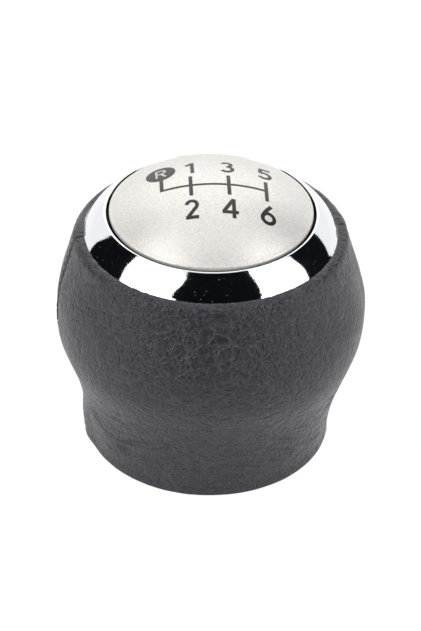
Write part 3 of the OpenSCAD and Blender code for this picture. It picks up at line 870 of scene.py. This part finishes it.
class KNOB_OT_threaded_insert(bpy.types.Operator):
    """Make the brass insert with its cut thread and knurl"""
    bl_idname = "knob.threaded_insert"
    bl_label = "Threaded insert"

    def execute(self, context):
        trim = settings()[1]
        low, high, r = INSERT_LOW.z, INSERT_HIGH.z, INSERT_HIGH.x
        cols, chamfer = 192, 0.9
        flutes, flute_depth, groove_depth = 24, 0.35, 0.5
        thread_height, thread_fade = 0.68, 1.5
        turn = np.arange(cols)[None, :] * 2 * math.pi / cols
        still = 0 * turn
        knurl = flute_depth * np.clip(np.cos(flutes * turn), 0, 1) ** 0.7
        length = high - low
        grooves = [share * length / 3 + k for share in (1, 2) for k in (-0.6, -0.59, 0.59, 0.6)]
        z_out = [low + t for t in (0.01, 1.9, 2.0, *grooves, length - 2, length - 1.9, length)]
        kinds = [0, 0, 1, 1, 2, 2, 1, 1, 2, 2, 1, 1, 0, 0]  # 0 plain, 1 knurled, 2 a groove
        outer = []
        for z, kind in zip(z_out, kinds):
            row_r = r - knurl * (kind == 1) - groove_depth * (kind == 2)
            outer.append(np.stack([row_r + still, z + still], -1))
        end = low + trim.thread_depth
        axis_r, crest = 0.01, trim.thread_minor_r
        inner = [np.stack([axis_r + still, end + still], -1)]
        for z in np.linspace(end, low + chamfer, 110):
            phase = (z / trim.thread_pitch - turn / (2 * math.pi)) % 1
            cut = rise(0.12, 0.5, np.abs(phase - 0.5)) * rise(end, end - thread_fade, z)
            inner.append(np.stack([crest + thread_height * cut, z + still], -1))
        inner.append(np.stack([crest + chamfer + still, low + still], -1))
        top = [np.stack([axis_r + still, high + still], -1)]
        grid = np.concatenate([*outer, *top, *inner], axis=0)
        far, z = grid[..., 0], grid[..., 1]
        points = np.stack([far * np.cos(turn), far * np.sin(turn), z], -1)
        faces = grid_faces(len(points), cols, True, True)
        points = points.reshape(-1, 3)
        insert = make_piece("threaded_insert_cut", points, faces, turned_brass(), 50)
        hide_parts("threaded_insert")
        return {"FINISHED"}


class KNOB_OT_core(bpy.types.Operator):
    """Finish the moulded core, base plate, foam sleeve and screws"""
    bl_idname = "knob.core"
    bl_label = "Core and screws"

    def execute(self, context):
        nylon = moulded_nylon()
        for node in ("core_lower", "core_upper", "base_plate"):
            dress(node, nylon)
        dress("foam_sleeve", foam("open_cell_foam", "6B6B66", 0.5))
        steel = zinc_plated_steel()
        for node in ("core_screws", "base_screws"):
            dress(node, steel)
        return {"FINISHED"}


# Studio


SOFTBOX_AWAY = 0.63  # metres
FLAG_AWAY = 0.55  # metres
# Cloth flags round the knob: rows of elevation, left azimuth and right azimuth in degrees, and
# the distance in metres where it isn't FLAG_AWAY
FLAGS = {
    "front_flag": ((8, -35, 45), (30, -33, 46), (45, -29, 49), (60, -31, 54), (72, -40, 70)),
    "front_table_cloth": ((-9.5, -34, 38, 0.12), (-6.7, -34, 40, 0.17), (-2.0, -31, 45, 0.53)),
    "left_flag": (
        (-2, -121, -77), (17, -120, -80), (30, -121, -84), (45, -123, -91), (57, -125, -100)),
    "right_flag": ((-2, 118, 86), (15, 124, 90), (30, 133, 93), (45, 140, 98), (60, 144, 99)),
}


def studio_direction(azimuth, elevation):
    """Unit vector to a place in the studio; azimuth 0 is the camera's side, 90 is to its right."""
    a, e = math.radians(azimuth), math.radians(elevation)
    return Vector((math.sin(a) * math.cos(e), -math.cos(a) * math.cos(e), math.sin(e)))


def facing(place, aim):
    """Matrix of something at a place whose -Z looks at an aim."""
    return Matrix.Translation(place) @ (aim - place).to_track_quat("-Z", "Y").to_matrix().to_4x4()


def flag_cloth():
    """Black cotton velour of a studio flag: it takes nearly all light and has no gloss."""
    material, tree, _ = new_material("black_cotton_velour")
    cloth = add_node(tree, "ShaderNodeBsdfDiffuse", {"Color": (*linear("1B1C20"), 1)})[0]
    add_node(tree, "ShaderNodeOutputMaterial", {"Surface": cloth})
    return material


def flag(name, rows, cloth, aim, swing):
    """A bent cloth flag round the knob, from rows as in FLAGS."""
    cols = 13
    points = []
    for elevation, left, right, *nearer in rows:
        away = nearer[0] if nearer else FLAG_AWAY
        for azimuth in np.linspace(left, right, cols):
            points.append(away * studio_direction(swing + azimuth, elevation))
    mesh = bpy.data.meshes.new(name)
    mesh.from_pydata(points, [], grid_faces(len(rows), cols, False, False))
    mesh.materials.append(cloth)
    made = bpy.data.objects.new(name, mesh)
    made.location = aim
    made.visible_camera = False
    bpy.context.scene.collection.objects.link(made)


def ray_shares(tree):
    """Shares that are 1 for what the camera sees itself, and for what mirrors and glass show."""
    path = add_node(tree, "ShaderNodeLightPath")
    mirror = maths(tree, "MAXIMUM", path["Is Glossy Ray"], path["Is Transmission Ray"])
    return path["Is Camera Ray"], mirror


class KNOB_OT_studio(bpy.types.Operator):
    """Set up the ground, surroundings, lamps, flags and camera"""
    bl_idname = "knob.studio"
    bl_label = "Studio"

    def execute(self, context):
        studio = settings()[2]
        scene = context.scene
        scene.view_settings.view_transform = "Standard"
        swing = -studio.swing
        aim = Vector((0, 0, studio.aim_z * MM))
        self.add_ground(scene)
        self.add_world(scene, studio)
        side_size, back_size = (0.86, 0.72), (0.8, 0.5)
        for side in (-66, 66):
            self.add_lamp(scene, "side_softbox", swing + side, 34, side_size, studio.softbox, aim)
        self.add_lamp(scene, "back_softbox", swing + 180, 40, back_size, studio.back_box, aim)
        cloth = flag_cloth()
        for name, rows in FLAGS.items():
            flag(name, rows, cloth, aim, swing)
        self.add_camera(scene, studio, aim)
        return {"FINISHED"}

    def add_lamp(self, scene, name, azimuth, elevation, size_m, watts, aim):
        """A softbox that faces the knob."""
        lamp = bpy.data.lights.new(name, "AREA")
        lamp.shape = "RECTANGLE"
        lamp.size, lamp.size_y = size_m
        lamp.energy = watts
        box = bpy.data.objects.new(name, lamp)
        box.matrix_world = facing(aim + SOFTBOX_AWAY * studio_direction(azimuth, elevation), aim)
        box.visible_camera = False
        scene.collection.objects.link(box)

    def add_ground(self, scene):
        """White acrylic ground: it glows white to the camera, and a share takes the soft shadow."""
        reach, glow_share, glow_strength = 3, 0.75, 1.27
        corners = [(-1, -1), (1, -1), (1, 1), (-1, 1)]
        mesh = bpy.data.meshes.new("ground")
        mesh.from_pydata([(x * reach, y * reach, 0) for x, y in corners], [], [(0, 1, 2, 3)])
        material, tree, _ = new_material("white_acrylic_sheet")
        lit = maths(tree, "MULTIPLY", maths(tree, "MAXIMUM", *ray_shares(tree)), glow_share)
        plain = add_node(tree, "ShaderNodeBsdfDiffuse", {"Color": (0.5, 0.5, 0.5, 1)})[0]
        light = {"Color": (1, 1, 1, 1), "Strength": glow_strength}
        glow = add_node(tree, "ShaderNodeEmission", light)[0]
        mixed = add_node(tree, "ShaderNodeMixShader", {0: lit, 1: plain, 2: glow})[0]
        add_node(tree, "ShaderNodeOutputMaterial", {"Surface": mixed})
        mesh.materials.append(material)
        ground = bpy.data.objects.new("ground", mesh)
        ground.location.z = -0.02 * MM
        scene.collection.objects.link(ground)

    def add_world(self, scene, studio):
        """White surroundings: full white to the camera and in reflections, softer as light."""
        world = bpy.data.worlds.new("white_cove")
        world.use_nodes = True
        tree = world.node_tree
        tree.nodes.clear()
        camera, mirror = ray_shares(tree)
        shown = remap(tree, mirror, 0.0, 1.0, studio.sky, 1.0)
        strength = maths(tree, "MAXIMUM", shown, camera)
        light = {"Color": (1, 1, 1, 1), "Strength": strength}
        sky = add_node(tree, "ShaderNodeBackground", light)[0]
        add_node(tree, "ShaderNodeOutputWorld", {"Surface": sky})
        scene.world = world

    def add_camera(self, scene, studio, aim):
        """Camera at the photograph's angle."""
        data = bpy.data.cameras.new("camera")
        data.sensor_width = SENSOR_MM
        data.lens = studio.lens
        data.clip_start, data.clip_end = 0.01, 50
        camera = bpy.data.objects.new("camera", data)
        place = aim + studio.distance * MM * studio_direction(-studio.swing, studio.elevation)
        look = facing(place, aim)
        shift = look.to_3x3() @ Vector((studio.aim_right, studio.aim_up, 0)) * MM
        roll = Matrix.Rotation(math.radians(studio.roll), 4, "Z")
        camera.matrix_world = Matrix.Translation(shift) @ look @ roll
        scene.collection.objects.link(camera)
        scene.camera = camera


class KNOB_PT_panel(bpy.types.Panel):
    """Lists the steps of dressing the knob and its settings"""
    bl_idname = "KNOB_PT_panel"
    bl_label = "Gear Shift Knob"
    bl_space_type = "VIEW_3D"
    bl_region_type = "UI"
    bl_category = "Knob"

    def draw(self, context):
        for step in STEPS:
            self.layout.operator(step.bl_idname)
        for group in settings():
            box = self.layout.box()
            for name in group.__annotations__:
                box.prop(group, name)


STEPS = (
    KNOB_OT_leather_cover, KNOB_OT_seam_threads, KNOB_OT_chrome_ring, KNOB_OT_shift_cap,
    KNOB_OT_shift_pattern, KNOB_OT_threaded_insert, KNOB_OT_core, KNOB_OT_studio,
)
GROUPS = {"knob_cover": KnobCover, "knob_trim": KnobTrim, "knob_studio": KnobStudio}


def register():
    for item in (*GROUPS.values(), *STEPS, KNOB_PT_panel):
        bpy.utils.register_class(item)
    for name, group in GROUPS.items():
        setattr(bpy.types.Scene, name, PointerProperty(type=group))


def unregister():
    for name in GROUPS:
        delattr(bpy.types.Scene, name)
    for item in (KNOB_PT_panel, *STEPS, *GROUPS.values()):
        bpy.utils.unregister_class(item)


def main():
    register()
    bpy.ops.knob.studio()
    bpy.ops.knob.leather_cover()
    bpy.ops.knob.seam_threads()
    bpy.ops.knob.chrome_ring()
    bpy.ops.knob.shift_cap()
    bpy.ops.knob.shift_pattern()
    bpy.ops.knob.threaded_insert()
    bpy.ops.knob.core()


if __name__ == "__main__":
    main()
